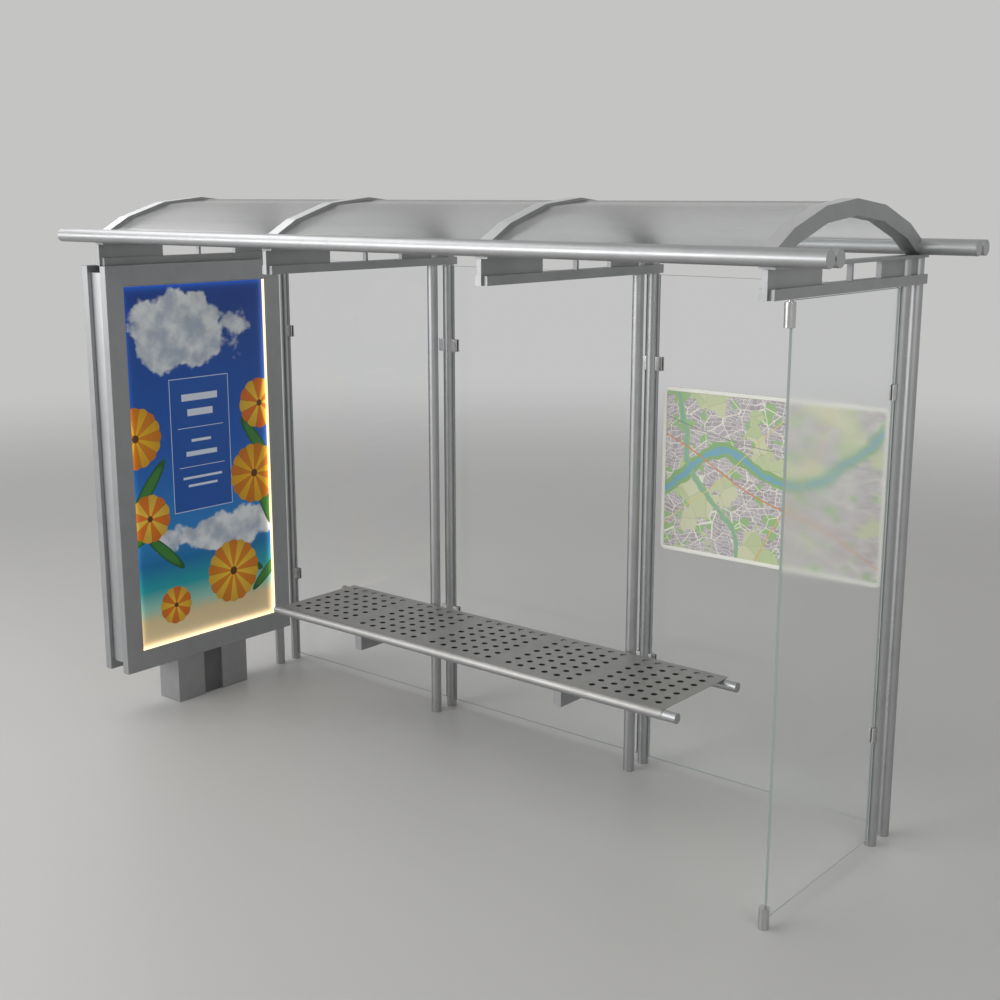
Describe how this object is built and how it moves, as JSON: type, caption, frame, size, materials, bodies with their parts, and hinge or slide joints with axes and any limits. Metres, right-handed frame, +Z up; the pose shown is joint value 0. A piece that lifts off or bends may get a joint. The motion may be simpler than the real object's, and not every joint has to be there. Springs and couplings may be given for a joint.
{
  "type": "bus shelter",
  "caption": "Open bus shelter of round posts and cantilever beams with a faceted clear roof on tube eaves, back glass, side glass, perforated bench, map case and lit poster display.",
  "frame": {"origin": "centre of the bounding box at floor level", "axes": "+X along the shelter towards the side glass, away from the poster display; +Y from the kerb side to the back glass; +Z up"},
  "size_m": [3.887, 1.259, 2.49],
  "materials": {
    "post_steel": "satin",
    "beam_steel": "satin",
    "rib_steel": "satin",
    "tube_steel": "satin",
    "roof_sheet": "clear, slightly milky",
    "clear_glass": "clear",
    "frosted_glass": "frosted",
    "fitting_steel": "satin",
    "map_case": "satin cream",
    "map_print": "printed",
    "display_metal": "satin",
    "poster_print": "printed, lit from behind",
    "light_strip": "lit, warm white",
    "seat_metal": "satin",
    "bench_steel": "satin"
  },
  "bodies": {
    "root": {"front_post_a": "post_steel", "rear_post_a": "post_steel", "cantilever_beam_a": "beam_steel", "roof_rib_a": "rib_steel", "front_post_b": "post_steel", "rear_post_b": "post_steel", "cantilever_beam_b": "beam_steel", "roof_rib_b": "rib_steel", "front_post_c": "post_steel", "rear_post_c": "post_steel", "cantilever_beam_c": "beam_steel", "roof_rib_c": "rib_steel", "front_post_d": "post_steel", "rear_post_d": "post_steel", "cantilever_beam_d": "beam_steel", "roof_rib_d": "rib_steel", "front_eaves_tube_outer": "tube_steel", "front_eaves_tube_inner": "tube_steel", "rear_eaves_tube_inner": "tube_steel", "rear_eaves_tube_outer": "tube_steel", "roof_sheet_left": "roof_sheet", "back_glass_left": "clear_glass", "roof_sheet_middle": "roof_sheet", "back_glass_middle": "clear_glass", "roof_sheet_right": "roof_sheet", "back_glass_right": "clear_glass", "side_glass": "frosted_glass", "glass_clamps": "fitting_steel", "side_glass_fittings": "fitting_steel", "map_case": "map_case", "map_sheet": "map_print", "display_frame_outer": "display_metal", "display_frame_inner": "display_metal", "display_body": "display_metal", "display_plinth": "display_metal", "poster_outer": "poster_print", "poster_inner": "poster_print", "poster_light_outer": "light_strip", "poster_light_inner": "light_strip", "bench_seat": "seat_metal", "bench_front_tube": "bench_steel", "bench_rear_tube": "bench_steel", "bench_brackets": "bench_steel"}
  },
  "joints": []
}
